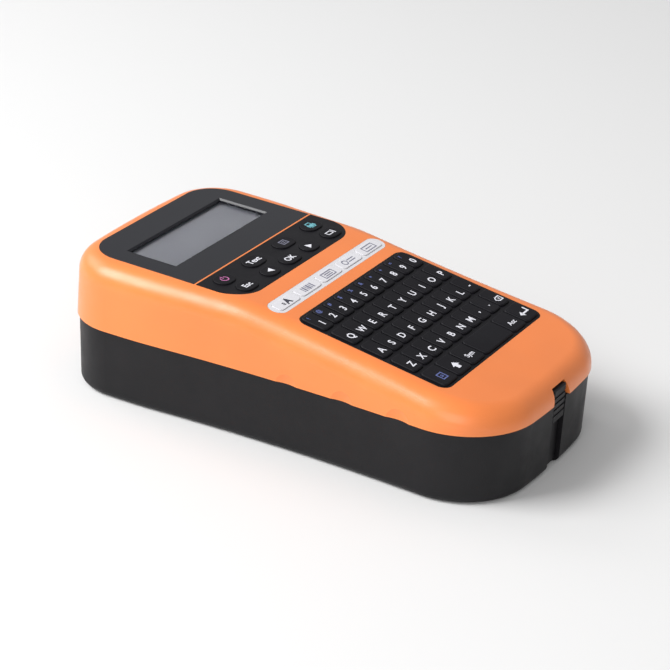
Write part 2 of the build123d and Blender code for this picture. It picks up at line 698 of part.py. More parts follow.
spindle_z0 = cassette_z0 + 2.0
ribbon_spindle = toothed_wheel(ribbon_at, ribbon_teeth, ribbon_phase, *lower_gears)
ribbon_spindle += rod(*ribbon_at, spindle_radius, spindle_z0, lower_gears[0])
for angle in range(0, 360, 60):
    ribbon_spindle += Pos(*ribbon_at) * Rot(0, 0, angle) * block(spindle_radius - 0.3, spindle_radius + 0.5,
                                                                 -0.4, 0.4, spindle_z0, cassette_z1)
save(ribbon_spindle, "ribbon_spindle")

# ---------------------------------------------------------------------------------------
# Motor, mechanism plate with the gear pins, and its screws
# ---------------------------------------------------------------------------------------
motor = rod(*motor_at, motor_radius, motor_z0, motor_z0 + motor_height)
motor = fillet(motor.edges(), 0.8)
motor &= block(motor_at[0] - 7.6, motor_at[0] + 7.6, 0, tall, 0, tall)
motor += rod(*motor_at, 3.0, motor_z0 - 1.0, motor_z0 + 1)
motor -= rod(*motor_at, motor_shaft_radius + running_fit, motor_z0 - 2, motor_z0 + 3.5)
save(motor, "drive_motor")

plate = block(-19.0, 47.5, 40.0, 80.0, plate_z0, plate_z0 + plate_thickness)
plate -= rod(*motor_at, 3.05, plate_z0 - 1, plate_z0 + 3)
for place in (idler_at, reduction_at):
    plate += rod(*place, gear_pin_radius, cassette_floor_z + bay_wall, plate_z0 + plate_thickness)
for x, y in post_places:
    plate -= rod(x, y, 1.1, plate_z0 - 1, plate_z0 + 3)
save(plate, "mechanism_plate")

screws = []
for x, y in post_places:
    screw = rod(x, y, 2.0, plate_z0 + plate_thickness, plate_z0 + plate_thickness + 1.2)
    screw += rod(x, y, post_screw_radius, plate_z0 - 3.5, plate_z0 + plate_thickness)
    top = plate_z0 + plate_thickness + 1.2
    screws.append(Part() + (screw - block(x - 1.4, x + 1.4, y - 0.25, y + 0.25, top - 0.6, top + 1)))
save(Compound(children=screws), "mechanism_screws")

screws = []
for x, y in screw_places:
    head_z = cover_recess_top + screw_sink
    screw = rod(x, y, screw_head_radius, head_z, head_z + screw_head_height)
    screw += rod(x, y, screw_radius - 0.05, head_z + 1, parting_z + 4.5)
    slot = block(x - 1.5, x + 1.5, y - 0.3, y + 0.3, head_z - 1, head_z + 0.7)
    slot += block(x - 0.3, x + 0.3, y - 1.5, y + 1.5, head_z - 1, head_z + 0.7)
    screws.append(Part() + (screw - slot))
save(Compound(children=screws), "case_screws")

# ---------------------------------------------------------------------------------------
# Platen roller on its swinging holder, print head and heat sink
# ---------------------------------------------------------------------------------------
roller_z0, roller_z1 = 5.8, 18.8
shaft = rod(*platen_at, platen_shaft_radius, rim_ledge + 0.4, lower_gears[1] + 0.8)
save(shaft, "platen_shaft")
roller = rod(*platen_at, platen_radius, roller_z0, roller_z1)
save(roller - rod(*platen_at, platen_shaft_radius, 0, 30), "platen_roller")

arm_plan = [(43.6, 34.9), (48.9, 34.9), (47.1, 67.8), (38.6, 67.8), (38.2, 60.0), (43.0, 52.0)]
holder_z = (rim_ledge + 0.4, rim_ledge + 1.4, roller_z1 + 0.3, roller_z1 + 1.5)
holder = prism(arm_plan, holder_z[0], holder_z[1]) + prism(arm_plan, holder_z[2], holder_z[3])
web_plan = [(46.0, 41.5), (48.5, 41.5), (47.1, 67.8), (45.5, 67.8)]
holder += prism(web_plan, holder_z[0], holder_z[3])
holder -= rod(*holder_pivot, holder_pin_radius + running_fit, 0, 30)
holder -= rod(*platen_at, platen_shaft_radius + running_fit, 0, 30)
save(holder, "roller_holder")

head_x1 = tape_x - tape_thickness / 2 - 0.1
head = block(head_x1 - 1.0, head_x1, platen_y - 6, platen_y + 6, roller_z0, roller_z1)
save(head, "print_head")
sink = block(head_x1 - 4.2, head_x1 - 1.0, platen_y - 7, platen_y + 7, rim_ledge + 0.6, cassette_floor_z)
save(sink, "head_heat_sink")

# ---------------------------------------------------------------------------------------
# Tape cassette: case, three spools and the tape that runs to the exit slot
# ---------------------------------------------------------------------------------------
tape_spool_at, tape_spool_radius = (3.5, 60.0), 17.5
ribbon_spool_at, ribbon_spool_radius = (1.5, 23.0), 12.0
take_up_radius = 6.5
head_notch = (28.0, 51.5, 74.5)
nose = (42.0, 50.0)

case = block(cassette_left, cassette_right, cassette_bottom, cassette_top, cassette_z0, cassette_z1)
case = fillet(case.edges().filter_by(Axis.Z), 2.0)
notch_wall = block(head_notch[0] - cassette_wall, cassette_right, head_notch[1] - cassette_wall,
                   head_notch[2] + cassette_wall, cassette_z0, cassette_z1)
cavity = block(cassette_left + cassette_wall, cassette_right - cassette_wall, cassette_bottom + cassette_wall,
               cassette_top - cassette_wall, cassette_z0 + cassette_wall, cassette_z1 - cassette_wall)
case -= cavity - notch_wall
case -= block(head_notch[0], cassette_right + 1, head_notch[1], head_notch[2], 0, tall)
case += block(cassette_right - 0.2, cassette_right + 2.0, *nose, cassette_z0, cassette_z1)
case -= block(tape_x - 0.4, tape_x + 0.4, nose[0] - 1, nose[1] + 1, tape_z0 - 0.4, tape_z0 + tape_width + 0.4)
for place, radius in ((ribbon_at, 3.6), (ribbon_spool_at, 3.6), (tape_spool_at, 5.0)):
    case -= rod(*place, radius, 0, tall)
save(case, "cassette_case")

spool_z0, spool_z1 = tape_z0 - 0.4, tape_z0 + tape_width + 0.4
spool = rod(*tape_spool_at, tape_spool_radius, tape_z0, tape_z0 + tape_width)
spool += rod(*tape_spool_at, 4.6, cassette_z0 + 0.4, cassette_z1 - 0.4)
save(spool - rod(*tape_spool_at, 3.4, 0, tall), "tape_spool")
spool = rod(*ribbon_spool_at, ribbon_spool_radius, tape_z0, tape_z0 + tape_width)
spool += rod(*ribbon_spool_at, 3.3, cassette_z0 + 0.4, cassette_z1 - 0.4)
save(spool - rod(*ribbon_spool_at, 2.2, 0, tall), "ribbon_spool")
spool = rod(*ribbon_at, take_up_radius, spool_z0, spool_z1)
spool += rod(*ribbon_at, 3.3, cassette_z0 + 0.4, cassette_z1 - 0.4)
save(spool - rod(*ribbon_at, spindle_radius + 0.6, 0, tall), "take_up_spool")

tape_end = cutter_y - blade_holder_half - 0.3     # the cut end stands just short of the blade holder
tape = block(tape_x - tape_thickness / 2, tape_x + tape_thickness / 2, nose[0] + 0.5, tape_end,
             tape_z0, tape_z0 + tape_width)
save(tape, "label_tape")

# ---------------------------------------------------------------------------------------
# Cutter: lever on its pin, blade holder and blade
# ---------------------------------------------------------------------------------------
lever_shape = [(-2.1, -2.0), (1.9, -2.0), (2.5, 3.2), (5.6, 7.0), (5.5, 13.0), (3.9, 18.0), (2.5, 20.2),
               (0.5, 20.2), (-0.8, 16.0), (-1.9, 7.0)]      # from the pivot
lever_plan = [(lever_pivot[0] + x, lever_pivot[1] + y) for x, y in lever_shape]
lever = prism(lever_plan, lever_z0, lever_z1)
lever = fillet([e for e in lever.edges().filter_by(Axis.Z) if e.center().X > lever_pivot[0] + 2.4], 1.2)
lever -= rod(*lever_pivot, lever_bore_radius, 0, 30)
save(lever, "cutter_lever")
save(rod(*lever_pivot, lever_bore_radius - running_fit, rim_ledge, cassette_floor_z), "lever_pin")

blade_holder = block(blade_holder_x0, blade_holder_x1, cutter_y - blade_holder_half,
                     cutter_y + blade_holder_half, lever_z0, lever_z1)
blade_slot = block(blade_holder_x0 - 1, blade_holder_x0 + 4, cutter_y - blade_thickness / 2,
                   cutter_y + blade_thickness / 2, 0, 30)
save(blade_holder - blade_slot, "blade_holder")
blade_back, blade_low, blade_high = blade_holder_x0 + 4, tape_z0 - 0.6, tape_z0 + tape_width + 0.6
blade_points = [(blade_back, blade_low), (blade_tip_x + 2.0, blade_low), (blade_tip_x, blade_high),
                (blade_back, blade_high)]
blade_plane = Plane(origin=(0, cutter_y + blade_thickness / 2, 0), x_dir=(1, 0, 0), z_dir=(0, -1, 0))
blade = extrude(blade_plane * make_face(Polyline(*blade_points, close=True)), blade_thickness)
save(blade, "cutter_blade")
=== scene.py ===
# %% [markdown]
# # A handheld label printer
# The printer's parts come in from the design as fixed pieces, each sitting where it belongs.
# This file gives them their finishes, adds the printed legends, and sets up a plain
# studio. Lengths are in metres, and X runs to the user's right,
# Y from the palm end to the display end, and Z up out of the keys.

# %% Load the frame
import json
import math
import bpy
import numpy as np
from mathutils import Matrix, Vector


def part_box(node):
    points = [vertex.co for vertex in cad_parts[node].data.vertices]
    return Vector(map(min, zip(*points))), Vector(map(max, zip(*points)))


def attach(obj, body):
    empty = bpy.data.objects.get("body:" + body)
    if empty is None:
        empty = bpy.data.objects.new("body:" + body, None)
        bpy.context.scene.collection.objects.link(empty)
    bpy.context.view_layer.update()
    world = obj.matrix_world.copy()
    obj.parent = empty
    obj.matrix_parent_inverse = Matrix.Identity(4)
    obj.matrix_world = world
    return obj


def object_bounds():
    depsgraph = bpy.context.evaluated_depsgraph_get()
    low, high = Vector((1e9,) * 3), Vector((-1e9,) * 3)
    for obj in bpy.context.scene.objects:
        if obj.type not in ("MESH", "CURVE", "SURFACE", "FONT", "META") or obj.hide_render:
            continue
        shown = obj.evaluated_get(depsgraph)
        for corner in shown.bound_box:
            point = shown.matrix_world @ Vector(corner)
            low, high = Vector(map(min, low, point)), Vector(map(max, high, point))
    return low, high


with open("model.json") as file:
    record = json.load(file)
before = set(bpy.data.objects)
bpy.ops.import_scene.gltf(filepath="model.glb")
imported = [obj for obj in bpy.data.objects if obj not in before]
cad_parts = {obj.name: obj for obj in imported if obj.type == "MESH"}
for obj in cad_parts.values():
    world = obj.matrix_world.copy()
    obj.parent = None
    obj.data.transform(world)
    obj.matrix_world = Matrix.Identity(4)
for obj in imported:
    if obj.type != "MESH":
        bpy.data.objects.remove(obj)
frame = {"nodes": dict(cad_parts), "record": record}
cad_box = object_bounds()
nodes = frame["nodes"]
MM = 0.001                  # one millimetre, in metres

# %% [markdown]
# ## The camera
# The printer is seen from its lower left, about 26 degrees above the table. A long lens
# a metre away keeps the sides nearly parallel. The camera leans by 2.8 degrees. It could be
# aimed by a Track To constraint, but that keeps it level, so its turn is worked out instead:
# a look-at turn first, and then a roll about the line of sight.

# %% Camera
low, high = (np.array(corner) for corner in cad_box)
centre = Vector((low + high) / 2)
eye = Vector((-0.791, -0.446, 0.469))
roll = math.radians(2.8)
lens_mm = 132.0

camera_data = bpy.data.cameras.new("studio_camera")
camera_data.lens = lens_mm
camera_data.clip_start = 0.05
camera = bpy.data.objects.new("studio_camera", camera_data)
look = (centre - eye).to_track_quat("-Z", "Y").to_matrix().to_4x4()
camera.matrix_world = Matrix.Translation(eye) @ look @ Matrix.Rotation(roll, 4, "Z")
bpy.context.scene.collection.objects.link(camera)
bpy.context.scene.camera = camera
print("camera distance:", round((centre - eye).length, 3), "m")

# %% [markdown]
# ## The studio
# A pale floor and three big soft lights. Small lamps or a sun would give hard spots, while a
# large light close to the object wraps round its edges and gives the long soft highlight
# that satin plastic shows. The lights keep out of the direction that the clear window
# mirrors towards the camera, or the display would turn white. The floor is one flat sheet
# that is much larger than the printer, so that no edge of it comes into view.

# %% Floor and lights
world = bpy.data.worlds.new("studio_world")
world.use_nodes = True
background = world.node_tree.nodes["Background"]
background.inputs["Color"].default_value = (1.0, 1.0, 1.0, 1.0)
background.inputs["Strength"].default_value = 0.42
bpy.context.scene.world = world
bpy.context.scene.view_settings.view_transform = "Standard"

floor_half, floor_gap = 6.0, 0.2 * MM
floor_mesh = bpy.data.meshes.new("studio_floor")
floor_mesh.from_pydata([(-floor_half, -floor_half, 0), (floor_half, -floor_half, 0),
                        (floor_half, floor_half, 0), (-floor_half, floor_half, 0)], [], [(0, 1, 2, 3)])
floor = bpy.data.objects.new("studio_floor", floor_mesh)
floor.location.z = -floor_gap
bpy.context.scene.collection.objects.link(floor)
floor_finish = bpy.data.materials.new("floor_paper")
floor_finish.use_nodes = True
floor_shader = floor_finish.node_tree.nodes["Principled BSDF"]
floor_shader.inputs["Base Color"].default_value = (0.80, 0.80, 0.80, 1)
floor_shader.inputs["Roughness"].default_value = 0.9
floor_mesh.materials.append(floor_finish)


def soft_light(name, place, size, watts):
    """A square lamp aimed at the middle of the printer."""
    data = bpy.data.lights.new(name, "AREA")
    data.size = size
    data.energy = watts
    lamp = bpy.data.objects.new(name, data)
    lamp.matrix_world = Matrix.Translation(Vector(place)) @ (
        (centre - Vector(place)).to_track_quat("-Z", "Y").to_matrix().to_4x4())
    bpy.context.scene.collection.objects.link(lamp)
    return lamp


soft_light("key_light", (-0.8, 0.9, 1.2), 0.9, 27.0)
soft_light("fill_light", (-1.4, -0.5, 0.7), 1.0, 7.0)
soft_light("back_light", (0.1, 1.5, 0.9), 0.8, 5.0)

# %% [markdown]
# ## Finishes from nodes
# Every finish is a small node tree on the Principled shader. Moulded plastic is never one
# flat colour: the tool leaves a fine spark-eroded grain, hands leave patches that are a
# little glossier, and corners are rubbed smooth. Pictures could carry all this, but each
# part would have to be unwrapped first, and a picture blurs close up. Noise worked out from
# the place on the part needs no unwrapping. So one recipe takes a colour and a gloss, and
# adds slow drift, handling marks, grain and rubbed corners at real sizes in metres.

# %% Node helpers


def srgb(red, green, blue):
    """A colour given from 0 to 255 as a screen shows it, turned into the linear light that nodes use."""
    channels = np.array([red, green, blue]) / 255
    linear = np.where(channels <= 0.04045, channels / 12.92, ((channels + 0.055) / 1.055) ** 2.4)
    return tuple(float(c) for c in linear) + (1.0,)


def shade(colour, share):
    """The same colour, brighter or darker by a share."""
    return tuple(min(1.0, c * share) for c in colour[:3]) + (1.0,)


class Finish:
    """A new material with its Principled shader, and short ways to add and join nodes."""

    def __init__(self, name, **sockets):
        self.material = bpy.data.materials.new(name)
        self.material.use_nodes = True
        self.tree = self.material.node_tree
        self.shader = self.tree.nodes["Principled BSDF"]
        self.set(self.shader, sockets)
        self.place = self.add("ShaderNodeTexCoord").outputs["Object"]

    def set(self, node, sockets):
        """Give inputs their constant values. An underscore in a name stands for a space."""
        for name, value in sockets.items():
            node.inputs[name.replace("_", " ")].default_value = value

    def add(self, kind, sockets=None, **settings):
        """A new node of a kind, with its input values and its own settings."""
        node = self.tree.nodes.new(kind)
        for name, value in settings.items():
            setattr(node, name, value)
        self.set(node, sockets or {})
        return node

    def join(self, source, target):
        """A wire from one node's output to another's input."""
        self.tree.links.new(source, target)

    def noise(self, size, detail=2.0, stretch=(1.0, 1.0, 1.0)):
        """Noise whose blotches are about `size` metres across, longer where stretch is over 1."""
        turn = self.add("ShaderNodeMapping")
        turn.inputs["Scale"].default_value = tuple(1.0 / s for s in stretch)
        texture = self.add("ShaderNodeTexNoise", {"Scale": 1.0 / size, "Detail": detail})
        self.join(self.place, turn.inputs["Vector"])
        self.join(turn.outputs["Vector"], texture.inputs["Vector"])
        return texture.outputs["Fac"]

    def between(self, value, low, high, from_low=0.35, from_high=0.65):
        """A number from low to high, following a value that runs over the given span."""
        scale = self.add("ShaderNodeMapRange", {"From Min": from_low, "From Max": from_high,
                                                "To Min": low, "To Max": high})
        self.join(value, scale.inputs["Value"])
        return scale.outputs["Result"]

    def blend(self, share, first, second):
        """First colour where the share is 0, second where it is 1."""
        mix = self.add("ShaderNodeMix", data_type="RGBA")
        for socket, colour in (("A", first), ("B", second)):
            target = next(i for i in mix.inputs if i.name == socket and i.type == "RGBA")
            if isinstance(colour, tuple):
                target.default_value = colour
            else:
                self.join(colour, target)
        self.join(share, mix.inputs["Factor"])
        return next(o for o in mix.outputs if o.type == "RGBA")

    def math(self, operation, first, second=0.0):
        """One arithmetic step on numbers or sockets."""
        node = self.add("ShaderNodeMath", operation=operation)
        for socket, value in zip(node.inputs, (first, second)):
            if isinstance(value, (int, float)):
                socket.default_value = value
            else:
                self.join(value, socket)
        return node.outputs["Value"]

    def bump(self, height, depth, after=None):
        """Relief of a depth in metres, on top of an earlier one."""
        node = self.add("ShaderNodeBump", {"Strength": 1.0, "Distance": depth})
        self.join(height, node.inputs["Height"])
        if after is not None:
            self.join(after, node.inputs["Normal"])
        return node.outputs["Normal"]

    def axis(self, name):
        """One coordinate of the place on the object, in metres."""
        split = self.add("ShaderNodeSeparateXYZ")
        self.join(self.place, split.inputs["Vector"])
        return split.outputs[name]

    def rubbed(self, width):
        """1 on convex and concave corners within a width, 0 on the open faces: it falls with the
        agreement between the true normal and the normal of the same shape with rounded corners."""
        rounded = self.add("ShaderNodeBevel", {"Radius": width}, samples=4)
        straight = self.add("ShaderNodeNewGeometry")
        product = self.add("ShaderNodeVectorMath", operation="DOT_PRODUCT")
        self.join(rounded.outputs["Normal"], product.inputs[0])
        self.join(straight.outputs["Normal"], product.inputs[1])
        fully_worn, untouched = 0.82, 0.99
        return self.between(product.outputs["Value"], 1.0, 0.0, fully_worn, untouched)


drift_size, handled_size, handled_spread = 50 * MM, 11 * MM, 0.05
wave_size, wave_depth = 9 * MM, 0.008 * MM
worn_share, worn_shade, worn_gloss = 0.35, 1.5, 0.12
scratch_size, scratch_depth, scratch_smoother, scratch_rougher = 0.4 * MM, 0.008 * MM, 0.08, 0.1
tarnish_size, tarnish_shade = 4 * MM, 0.85


def moulded(name, colour, gloss, grain=0.00032, depth=0.000012, drift=0.05, rub=0.0, **sockets):
    """Moulded plastic or rubber. Gloss is its roughness, grain the size of the tool's texture."""
    f = Finish(name, **sockets)
    slow = f.between(f.noise(drift_size), 0.0, 1.0)
    tone = f.blend(slow, shade(colour, 1 - drift), shade(colour, 1 + drift))
    handled = f.between(f.noise(handled_size, detail=4.0), gloss - handled_spread, gloss + handled_spread)
    if rub:
        worn = f.rubbed(rub)
        tone = f.blend(f.math("MULTIPLY", worn, worn_share), tone, shade(colour, worn_shade))
        handled = f.math("SUBTRACT", handled, f.math("MULTIPLY", worn, worn_gloss))
    f.join(tone, f.shader.inputs["Base Color"])
    f.join(handled, f.shader.inputs["Roughness"])
    waves = f.bump(f.noise(wave_size, detail=1.0), wave_depth)
    f.join(f.bump(f.noise(grain), depth, waves), f.shader.inputs["Normal"])
    return f.material


def metal(name, colour, gloss, stretch=(1.0, 1.0, 1.0)):
    """Drawn or turned metal: scratches stretched along one axis break up its reflection."""
    f = Finish(name, Metallic=1.0)
    scratches = f.noise(scratch_size, detail=3.0, stretch=stretch)
    tarnish = f.between(f.noise(tarnish_size), 0.0, 1.0)
    f.join(f.blend(tarnish, shade(colour, tarnish_shade), colour), f.shader.inputs["Base Color"])
    shine = f.between(scratches, gloss - scratch_smoother, gloss + scratch_rougher)
    f.join(shine, f.shader.inputs["Roughness"])
    f.join(f.bump(scratches, scratch_depth), f.shader.inputs["Normal"])
    return f.material


print("helpers ready")

# %% [markdown]
# ## Plastics and rubber
# The front cover is satin orange, with a soft grain that spreads the highlight along its
# rolled edge. The rear case is the same kind of plastic in black with a coarser grain.
# The display panel is polished, and the keys are fine matt rubber. Each could be built by
# hand, but they differ only in a few numbers, so one table names them all.

# %% Plastics and rubber
orange = srgb(242, 134, 68)
black = srgb(20, 19, 22)
finishes = {
    "orange_shell": moulded("satin_orange", orange, 0.36, rub=0.0004, Coat_Weight=0.25, Coat_Roughness=0.3),
    "black_shell": moulded("grained_black", black, 0.5, grain=0.0006, depth=0.00004, drift=0.08, rub=0.0006,
                           Specular_IOR_Level=0.3),
    "gloss_panel": moulded("polished_dark", srgb(30, 31, 37), 0.16, depth=0.000002, Specular_IOR_Level=0.3),
    "key_panel": moulded("satin_dark", srgb(19, 18, 23), 0.4, depth=0.000008, Specular_IOR_Level=0.15),
    "key_rubber": moulded("key_black", srgb(21, 20, 25), 0.5, grain=0.00025, drift=0.1, rub=0.00025,
                          Specular_IOR_Level=0.15),
    "white_panel": moulded("satin_white", srgb(218, 217, 221), 0.4, drift=0.02),
    "white_rubber": moulded("key_white", srgb(220, 219, 224), 0.5, grain=0.00025, drift=0.02),
    "mat_rubber": moulded("contact_rubber", srgb(150, 150, 148), 0.6),
    "gear_plastic": moulded("acetal", srgb(222, 220, 210), 0.35, drift=0.03),
    "roller_rubber": moulded("roller_rubber", srgb(38, 38, 40), 0.75, grain=0.0005, depth=0.00003),
    "cassette_plastic": moulded("cassette_grey", srgb(92, 94, 103), 0.38, rub=0.0004),
    "spool_green": moulded("spool_green", srgb(150, 214, 130), 0.35),
    "working_plastic": moulded("glass_filled_black", srgb(40, 40, 43), 0.45, grain=0.0004, depth=0.00003),
    "ribbon_black": moulded("ink_ribbon", srgb(20, 20, 22), 0.28, depth=0.000004),
    "tape_white": moulded("label_tape", srgb(240, 240, 236), 0.3, depth=0.000004, drift=0.02),
    "head_ceramic": moulded("head_ceramic", srgb(205, 200, 186), 0.25, depth=0.000004),
    "steel": metal("bright_steel", srgb(196, 196, 198), 0.25, (1.0, 1.0, 30.0)),
    "zinc_screw": metal("zinc_plate", srgb(206, 208, 200), 0.3),
    "heat_sink": metal("cast_aluminium", srgb(190, 192, 196), 0.4),
    "contact_nickel": metal("nickel", srgb(214, 206, 188), 0.22, (30.0, 1.0, 1.0)),
}
print("finishes:", len(finishes))

# %% [markdown]
# ## Display, board and cells
# The liquid crystal is a grey reflective sheet behind clear acrylic, divided into dots that
# can just be seen. Circuit board is green lacquer over copper tracks, and a dry cell wears a
# printed sleeve with a band at its positive end. The dots could be thousands of little
# squares, but a repeating formula costs nothing. Each pattern is worked out from the place
# on the piece, so it keeps its real size.

# %% Display, board and cells
dot_pitch = 0.56 * MM


def lcd_finish():
    """Grey glass, darker in lines between square dots. A line is where the place, divided by
    the dot size, is near a whole number."""
    f = Finish("liquid_crystal", Roughness=0.3, Specular_IOR_Level=0.35)
    gap_share, gap_strength = 0.14, 0.22
    gaps = []
    for name in ("X", "Y"):
        step = f.math("FRACT", f.math("DIVIDE", f.axis(name), dot_pitch))
        gaps.append(f.math("LESS_THAN", step, gap_share))
    lines = f.math("MAXIMUM", *gaps)
    cloud_size = 30 * MM
    clouds = f.between(f.noise(cloud_size, detail=1.0), 0.0, 1.0)
    glow = f.blend(clouds, srgb(150, 151, 160), srgb(163, 164, 172))
    faint = f.math("MULTIPLY", lines, gap_strength)
    f.join(f.blend(faint, glow, srgb(110, 112, 120)), f.shader.inputs["Base Color"])
    return f.material


def window_finish():
    """Clear acrylic with a faint grey tint and fine surface ripple."""
    f = Finish("clear_acrylic", Base_Color=(0.93, 0.94, 0.96, 1.0), Roughness=0.04, IOR=1.49,
               Transmission_Weight=1.0)
    ripple_size, ripple_depth = 12 * MM, 0.004 * MM
    f.join(f.bump(f.noise(ripple_size, detail=1.0), ripple_depth), f.shader.inputs["Normal"])
    return f.material


def board_finish():
    """Green lacquer with copper tracks showing through as thin raised bands of warped waves."""
    f = Finish("circuit_board", Roughness=0.28)
    wave = f.add("ShaderNodeTexWave", {"Scale": 160.0, "Distortion": 9.0, "Detail": 1.0},
                 bands_direction="DIAGONAL")
    f.join(f.place, wave.inputs["Vector"])
    gap_until, track_from = 0.7, 0.8
    tracks = f.between(wave.outputs["Fac"], 0.0, 1.0, gap_until, track_from)
    f.join(f.blend(tracks, srgb(18, 84, 46), srgb(46, 128, 70)), f.shader.inputs["Base Color"])
    track_height = 0.03 * MM
    f.join(f.bump(tracks, track_height), f.shader.inputs["Normal"])
    return f.material


def sleeve_finish():
    """A printed cell sleeve: dark along most of the cell, with a copper-coloured band at one end."""
    f = Finish("cell_sleeve", Metallic=0.6)
    band_share = 0.3
    cells_low, cells_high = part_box("batteries")
    band_start = cells_high.y - (cells_high.y - cells_low.y) * band_share
    band = f.math("GREATER_THAN", f.axis("Y"), float(band_start))
    f.join(f.blend(band, srgb(34, 36, 42), srgb(196, 120, 62)), f.shader.inputs["Base Color"])
    scuff_size, smoothest, roughest = 2 * MM, 0.22, 0.34
    scuffs = f.between(f.noise(scuff_size, detail=3.0), smoothest, roughest)
    f.join(scuffs, f.shader.inputs["Roughness"])
    return f.material


finishes["lcd"] = lcd_finish()
finishes["window"] = window_finish()
finishes["board"] = board_finish()
finishes["battery_sleeve"] = sleeve_finish()
print("finishes:", len(finishes))

# %% [markdown]
# ## Dress the fixed parts
# The design says which finish each part takes, in its list of materials. A part keeps its
# shape and place, and only its material slots change. Finishes could be given part by part,
# but a loop over the list stays right when the design changes.

# %% Dress the fixed parts
slot_of = {}
for entry in frame["record"]["subparts"]:
    slot_of[entry["node"]] = entry["material_slot"]
for name, piece in nodes.items():
    piece.data.materials.clear()
    piece.data.materials.append(finishes[slot_of[name]])
print("dressed:", len(slot_of))

# %% [markdown]
# ## Places on the two faces
# The keys stand on two flat faces that meet at a soft ridge: the display face, nearly level,
# and the keyboard face, which falls towards the palm. A legend could be typed straight into
# space, but it is easier to draw it flat and then carry it to its face with one turn: across
# the face is X, and up the face leans with the slope. A key's top stands a little above the
# face, so each kind of key has its own rise.

# %% Places on the two faces
bend_y, bend_z = 17.0 * MM, 57.5 * MM
display_slope, keyboard_slope = math.radians(1.1), math.radians(8.8)
key_rise, function_rise, label_rise = 0.9 * MM, 0.55 * MM, 0.35 * MM
ink_gap, ink_thickness = 0.01 * MM, 0.03 * MM
column_pitch, row_pitch = 8.15 * MM, 13.5 * MM
first_row_y = -12.5 * MM
function_row_a, function_row_b = 33.2 * MM, 23.0 * MM
strip_y, label_key_pitch = 4.6 * MM, 16.4 * MM


def on_face(x, y, rise=key_rise):
    """The turn and shift that carry a flat drawing onto the face over a point of the plan."""
    slope = display_slope if y >= bend_y else keyboard_slope
    normal = Vector((0, -math.sin(slope), math.cos(slope)))
    upward = Vector((0, math.cos(slope), math.sin(slope)))
    foot = Vector((x, y, bend_z + (y - bend_y) * math.tan(slope))) + normal * rise
    turn = Matrix((Vector((1, 0, 0)), upward, normal)).transposed().to_4x4()
    return Matrix.Translation(foot) @ turn


print("display face at y = 33 mm:", [round(v / MM, 2) for v in on_face(0, function_row_a).translation])

# %% [markdown]
# ## Printed legends
# A real key carries its legend as a layer of ink. It could be painted in the key's material,
# but then the mesh alone would show blank keys. Here each legend is a thin sheet with a real
# thickness. Letters come from Blender's own typeface, thickened a little, and icons are
# drawn from outlines and from lines of a given width. All the ink of one colour on one
# moving key is a single piece, so it travels with the key.

# %% Ink shapes


def letter_sheet(text, size, weight=0.018):
    """Text as a mesh lying flat, centred on the origin: points and faces."""
    curve = bpy.data.curves.new("letters", "FONT")
    curve.body = text
    curve.size = size
    curve.offset = size * weight
    curve.align_x, curve.align_y = "CENTER", "CENTER"
    curve.extrude = ink_thickness / 2
    curve.resolution_u = 4
    carrier = bpy.data.objects.new("letters", curve)
    bpy.context.scene.collection.objects.link(carrier)
    bpy.context.view_layer.update()
    mesh = bpy.data.meshes.new_from_object(carrier.evaluated_get(bpy.context.evaluated_depsgraph_get()))
    points = np.zeros(len(mesh.vertices) * 3)
    mesh.vertices.foreach_get("co", points)
    points = points.reshape(-1, 3)
    points[:, :2] -= (points[:, :2].min(0) + points[:, :2].max(0)) / 2
    faces = [tuple(face.vertices) for face in mesh.polygons]
    bpy.data.objects.remove(carrier)
    bpy.data.meshes.remove(mesh)
    bpy.data.curves.remove(curve)
    return points, faces


def plate(outline):
    """A closed thin plate from an outline that runs anticlockwise: a top, a bottom and a wall."""
    flat = np.asarray(outline, float)
    count = len(flat)
    half = np.full((count, 1), ink_thickness / 2)
    points = np.vstack([np.hstack([flat, half]), np.hstack([flat, -half])])
    ring = np.arange(count)
    after = (ring + 1) % count
    walls = np.stack([ring + count, after + count, after, ring], axis=1)
    faces = [tuple(ring), tuple(ring[::-1] + count)] + [tuple(w) for w in walls]
    return points, faces


def stroke(path, width, closed=False):
    """A line of a given width along a path: each point is pushed half a width to either side,
    along the average of the normals of the runs that meet there. The push grows on a sharp turn,
    and spike_limit keeps it from growing into a spike."""
    path = np.asarray(path, float)
    runs = np.roll(path, -1, 0) - path
    shortest = 1e-12
    runs /= np.maximum(np.linalg.norm(runs, axis=1, keepdims=True), shortest)
    side = np.stack([-runs[:, 1], runs[:, 0]], axis=1)
    before = np.roll(side, 1, 0)
    if not closed:
        side[-1], before[0] = side[-2], side[0]
    mitre = side + before
    spike_limit = 0.5
    mitre *= width / np.maximum((mitre * mitre).sum(1, keepdims=True), spike_limit)
    outer, inner = path + mitre, path - mitre
    if not closed:
        return plate(np.vstack([inner, outer[::-1]]))
    count = len(path)
    ring = np.arange(count)
    after = (ring + 1) % count
    half = np.full((count, 1), ink_thickness / 2)
    layers = [np.hstack([inner, half]), np.hstack([outer, half]), np.hstack([outer, -half]),
              np.hstack([inner, -half])]
    faces = []
    for layer in range(4):
        first, second = layer * count, ((layer + 1) % 4) * count
        faces += [tuple(q) for q in np.stack([ring + first, after + first, after + second, ring + second], 1)]
    return np.vstack(layers), faces


def disc(radius, centre_x=0.0, centre_y=0.0, start=0.0, stop=360.0, count=28):
    """Points on a circle: the angle runs evenly from start to stop, in degrees."""
    open_arc = stop - start < 360
    angle = np.radians(np.linspace(start, stop, count, endpoint=open_arc))
    return np.stack([centre_x + radius * np.cos(angle), centre_y + radius * np.sin(angle)], axis=1)


def frame_of(width, height):
    """Corners of a rectangle, anticlockwise, centred on the origin."""
    return np.array([(-width, -height), (width, -height), (width, height), (-width, height)]) / 2


print("a letter has", len(letter_sheet("A", 4 * MM)[0]), "points")

